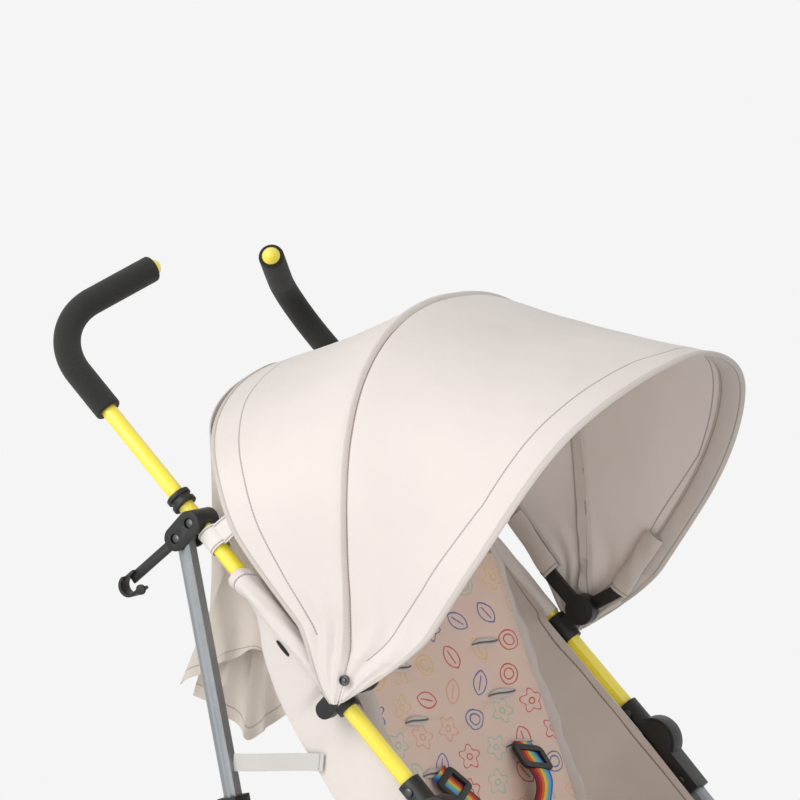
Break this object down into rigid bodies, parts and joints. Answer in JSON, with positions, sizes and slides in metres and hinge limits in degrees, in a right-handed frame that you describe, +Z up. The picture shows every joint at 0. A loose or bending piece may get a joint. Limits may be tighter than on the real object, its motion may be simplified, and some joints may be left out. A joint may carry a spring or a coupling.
{
  "type": "umbrella stroller",
  "caption": "Umbrella-fold stroller with bent handles, twin wheels on swivelling casters, cloth bucket seat with harness, hinged hood and basket.",
  "frame": {"origin": "on the floor, under the middle of the part's box", "axes": "+Z up, the front faces -Y, the child's right side is -X"},
  "size_m": [0.505, 0.812, 1.0215],
  "materials": {
    "yellow_paint": "gloss",
    "foam": "matte",
    "black_plastic": "satin",
    "steel": "satin",
    "grey_leg": "satin",
    "wheel": "matte",
    "bow_plastic": "matte",
    "hood_cloth": "matte",
    "seat_cloth": "matte",
    "printed_cloth": "matte",
    "striped_webbing": "matte",
    "grey_webbing": "matte"
  },
  "bodies": {
    "right_frame": {"push_tube_right": "yellow_paint", "grip_right": "foam", "grip_cap_right": "yellow_paint", "tube_collar_right": "black_plastic", "upper_hub_right": "black_plastic", "frame_rivets_right": "steel", "knuckle_right": "black_plastic", "front_leg_right": "grey_leg", "caster_socket_right": "black_plastic", "hood_clip_right": "black_plastic", "hood_rear_bow": "bow_plastic", "hood_rear_gore": "hood_cloth", "hood_curtain": "hood_cloth", "seat_pad": "printed_cloth", "seat_sling": "seat_cloth", "seat_strap_right": "grey_webbing", "harness": "striped_webbing", "harness_buckle": "black_plastic", "harness_sliders": "black_plastic", "basket": "seat_cloth", "footrest_band": "seat_cloth"},
    "left_frame": {"push_tube_left": "yellow_paint", "grip_left": "foam", "grip_cap_left": "yellow_paint", "tube_collar_left": "black_plastic", "upper_hub_left": "black_plastic", "frame_rivets_left": "steel", "knuckle_left": "black_plastic", "front_leg_left": "grey_leg", "caster_socket_left": "black_plastic", "hood_clip_left": "black_plastic", "seat_strap_left": "grey_webbing"},
    "right_rear_leg": {"rear_leg_right": "grey_leg", "rear_housing_right": "black_plastic", "rear_pins_right": "steel"},
    "left_rear_leg": {"rear_leg_left": "grey_leg", "rear_housing_left": "black_plastic", "rear_pins_left": "steel"},
    "brace_a": {"brace_bar_a": "grey_leg", "brace_rivet": "steel"},
    "brace_b": {"brace_bar_b": "grey_leg"},
    "right_slider": {"leg_slider_right": "black_plastic"},
    "left_slider": {"leg_slider_left": "black_plastic"},
    "hook": {"transport_hook": "black_plastic"},
    "hood_front": {"hood_arm_right": "black_plastic", "hood_front_bow": "bow_plastic", "hood_front_gore": "hood_cloth"},
    "hood_middle": {"hood_mid_bow": "bow_plastic", "hood_mid_gore": "hood_cloth"},
    "hood_left_arm": {"hood_arm_left": "black_plastic"},
    "right_caster": {"caster_fork_right": "black_plastic", "caster_pins_right": "steel"},
    "left_caster": {"caster_fork_left": "black_plastic", "caster_pins_left": "steel"},
    "right_front_wheels": {"front_wheels_right": "wheel"},
    "left_front_wheels": {"front_wheels_left": "wheel"},
    "right_rear_wheels": {"rear_wheels_right": "wheel"},
    "left_rear_wheels": {"rear_wheels_left": "wheel"},
    "right_brake": {"brake_pedal_right": "black_plastic"},
    "left_brake": {"brake_pedal_left": "black_plastic"}
  },
  "joints": [
    {"name": "frame_fold", "type": "hinge", "parent": "right_frame", "child": "right_rear_leg", "pos_m": [-0.22, 0.24467, 0.7619], "axis": [-1, 0, 0], "range_deg": [0, 20], "deforming": ["hood_rear_bow", "hood_mid_bow", "hood_front_bow", "hood_rear_gore", "hood_mid_gore", "hood_front_gore", "hood_curtain", "seat_pad", "seat_sling", "seat_strap_right", "seat_strap_left", "harness", "harness_buckle", "harness_sliders", "basket", "footrest_band"]},
    {"name": "brace_a_turn", "type": "hinge", "parent": "right_rear_leg", "child": "brace_a", "pos_m": [-0.22, 0.13808, 0.21199], "axis": [0, -0.977, 0.213], "range_deg": [-1, 28]},
    {"name": "brace_b_turn", "type": "hinge", "parent": "brace_a", "child": "brace_b", "pos_m": [0, 0.16851, 0.35158], "axis": [0, -0.977, 0.213], "range_deg": [-56, 2]},
    {"name": "left_leg_turn", "type": "hinge", "parent": "brace_b", "child": "left_rear_leg", "pos_m": [0.22, 0.13808, 0.21199], "axis": [0, -0.977, 0.213], "range_deg": [-1, 28]},
    {"name": "left_slider_turn", "type": "hinge", "parent": "brace_a", "child": "left_slider", "pos_m": [0.22, 0.19895, 0.49117], "axis": [0, -0.977, 0.213], "range_deg": [-28, 1]},
    {"name": "right_slider_turn", "type": "hinge", "parent": "brace_b", "child": "right_slider", "pos_m": [-0.22, 0.19895, 0.49117], "axis": [0, -0.977, 0.213], "range_deg": [-1, 28]},
    {"name": "left_frame_fold", "type": "hinge", "parent": "left_rear_leg", "child": "left_frame", "pos_m": [0.22, 0.24467, 0.7619], "axis": [-1, 0, 0], "range_deg": [-21, 1]},
    {"name": "hood", "type": "hinge", "parent": "right_frame", "child": "hood_front", "pos_m": [-0.22, 0.04766, 0.64606], "axis": [-1, 0, 0], "range_deg": [0, 50]},
    {"name": "hood_middle_follow", "type": "hinge", "parent": "right_frame", "child": "hood_middle", "pos_m": [-0.22, 0.04766, 0.64606], "axis": [-1, 0, 0], "range_deg": [-1, 26]},
    {"name": "hood_left_follow", "type": "hinge", "parent": "left_frame", "child": "hood_left_arm", "pos_m": [0.22, 0.04766, 0.64606], "axis": [-1, 0, 0], "range_deg": [-1, 51]},
    {"name": "hook_swing", "type": "hinge", "parent": "right_frame", "child": "hook", "pos_m": [-0.22, 0.24467, 0.7619], "axis": [-1, 0, 0], "range_deg": [0, 45]},
    {"name": "right_caster_swivel", "type": "hinge", "parent": "right_frame", "child": "right_caster", "pos_m": [-0.22, -0.36984, 0.135], "axis": [0, 0, 1], "continuous": true},
    {"name": "left_caster_swivel", "type": "hinge", "parent": "left_frame", "child": "left_caster", "pos_m": [0.22, -0.36984, 0.135], "axis": [0, 0, 1], "continuous": true},
    {"name": "right_front_spin", "type": "hinge", "parent": "right_caster", "child": "right_front_wheels", "pos_m": [-0.22, -0.33983, 0.065], "axis": [1, 0, 0], "continuous": true},
    {"name": "left_front_spin", "type": "hinge", "parent": "left_caster", "child": "left_front_wheels", "pos_m": [0.22, -0.33983, 0.065], "axis": [1, 0, 0], "continuous": true},
    {"name": "right_rear_spin", "type": "hinge", "parent": "right_rear_leg", "child": "right_rear_wheels", "pos_m": [-0.22, 0.11422, 0.065], "axis": [1, 0, 0], "continuous": true},
    {"name": "left_rear_spin", "type": "hinge", "parent": "left_rear_leg", "child": "left_rear_wheels", "pos_m": [0.22, 0.11422, 0.065], "axis": [1, 0, 0], "continuous": true},
    {"name": "right_brake_press", "type": "hinge", "parent": "right_rear_leg", "child": "right_brake", "pos_m": [-0.22, 0.13422, 0.141], "axis": [-1, 0, 0], "range_deg": [0, 18]},
    {"name": "left_brake_press", "type": "hinge", "parent": "left_rear_leg", "child": "left_brake", "pos_m": [0.22, 0.13422, 0.141], "axis": [-1, 0, 0], "range_deg": [0, 18]}
  ],
  "couplings": [
    {"joint": "brace_a_turn", "follows": "frame_fold", "ratio": 1.35},
    {"joint": "brace_b_turn", "follows": "frame_fold", "ratio": -2.7},
    {"joint": "left_leg_turn", "follows": "frame_fold", "ratio": 1.35},
    {"joint": "left_slider_turn", "follows": "frame_fold", "ratio": -1.35},
    {"joint": "right_slider_turn", "follows": "frame_fold", "ratio": 1.35},
    {"joint": "left_frame_fold", "follows": "frame_fold", "ratio": -1},
    {"joint": "hood_middle_follow", "follows": "hood", "ratio": 0.5},
    {"joint": "hood_left_follow", "follows": "hood", "ratio": 1}
  ]
}
